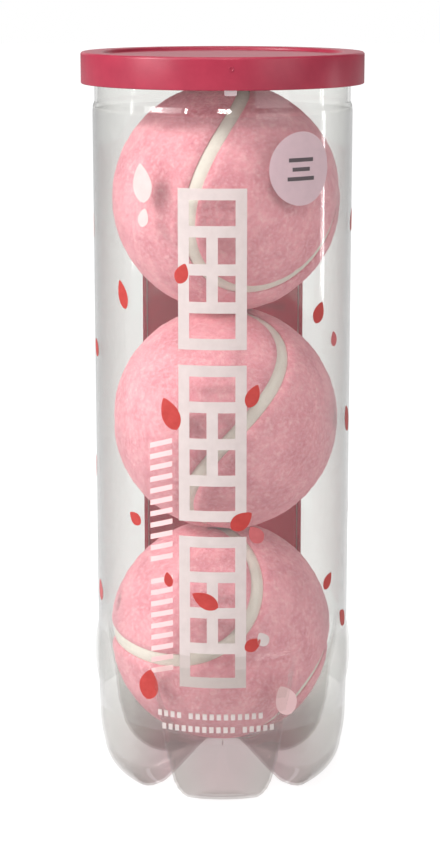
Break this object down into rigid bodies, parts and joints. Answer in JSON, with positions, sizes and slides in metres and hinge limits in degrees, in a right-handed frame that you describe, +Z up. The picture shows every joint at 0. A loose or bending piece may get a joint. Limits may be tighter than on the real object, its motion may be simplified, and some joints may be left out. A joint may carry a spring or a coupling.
{
  "type": "tennis ball can",
  "caption": "Clear tennis ball can with a petaloid base, aluminium ring-pull end, push-on overcap and felt balls inside.",
  "frame": {"origin": "on the floor under the middle of the can", "axes": "+Z up along the can's axis, front of the label towards -Y"},
  "size_m": [0.0816, 0.0816, 0.2179],
  "materials": {
    "clear_pet": "clear, glossy",
    "clear_film": "clear film, glossy",
    "sticker": "printed, satin",
    "label_print": "printed, satin",
    "aluminium": "bright, lacquered",
    "compound": "matte",
    "cap_plastic": "translucent, satin",
    "core_rubber": "matte",
    "felt": "brushed felt",
    "seam_rubber": "matte"
  },
  "bodies": {
    "can": {"can_body": "clear_pet", "label_sleeve": "clear_film", "round_sticker": "sticker", "back_label": "label_print", "end_ring": "aluminium", "seam_compound": "compound"},
    "ball_bottom": {"ball_bottom_core_a": "core_rubber", "ball_bottom_core_b": "core_rubber", "ball_bottom_felt_a": "felt", "ball_bottom_felt_b": "felt", "ball_bottom_seam": "seam_rubber"},
    "ball_middle": {"ball_middle_core_a": "core_rubber", "ball_middle_core_b": "core_rubber", "ball_middle_felt_a": "felt", "ball_middle_felt_b": "felt", "ball_middle_seam": "seam_rubber"},
    "ball_top": {"ball_top_core_a": "core_rubber", "ball_top_core_b": "core_rubber", "ball_top_felt_a": "felt", "ball_top_felt_b": "felt", "ball_top_seam": "seam_rubber"},
    "tear_panel": {"tear_panel": "aluminium", "tab_rivet": "aluminium", "tab_tongue": "aluminium"},
    "pull_tab": {"pull_tab": "aluminium"},
    "overcap": {"overcap": "cap_plastic"}
  },
  "joints": [
    {"name": "ball_bottom_lift", "type": "slide", "parent": "can", "child": "ball_bottom", "axis": [0, 0, 1], "range_m": [0, 0.208]},
    {"name": "ball_middle_lift", "type": "slide", "parent": "ball_bottom", "child": "ball_middle", "axis": [0, 0, 1], "range_m": [0, 0.143]},
    {"name": "ball_top_lift", "type": "slide", "parent": "ball_middle", "child": "ball_top", "axis": [0, 0, 1], "range_m": [0, 0.077]},
    {"name": "panel_tear_off", "type": "slide", "parent": "ball_top", "child": "tear_panel", "axis": [0, 0, 1], "range_m": [0, 0.06]},
    {"name": "overcap_lift", "type": "slide", "parent": "tear_panel", "child": "overcap", "axis": [0, 0, 1], "range_m": [0, 0.06]},
    {"name": "tab_hinge", "type": "hinge", "parent": "tear_panel", "child": "pull_tab", "pos_m": [0, 0.03175, 0.21133], "axis": [-1, 0, 0], "range_deg": [0, 80.5]}
  ],
  "couplings": [
    {"joint": "tab_hinge", "follows": "overcap_lift", "rad_per_m": 23.271}
  ]
}
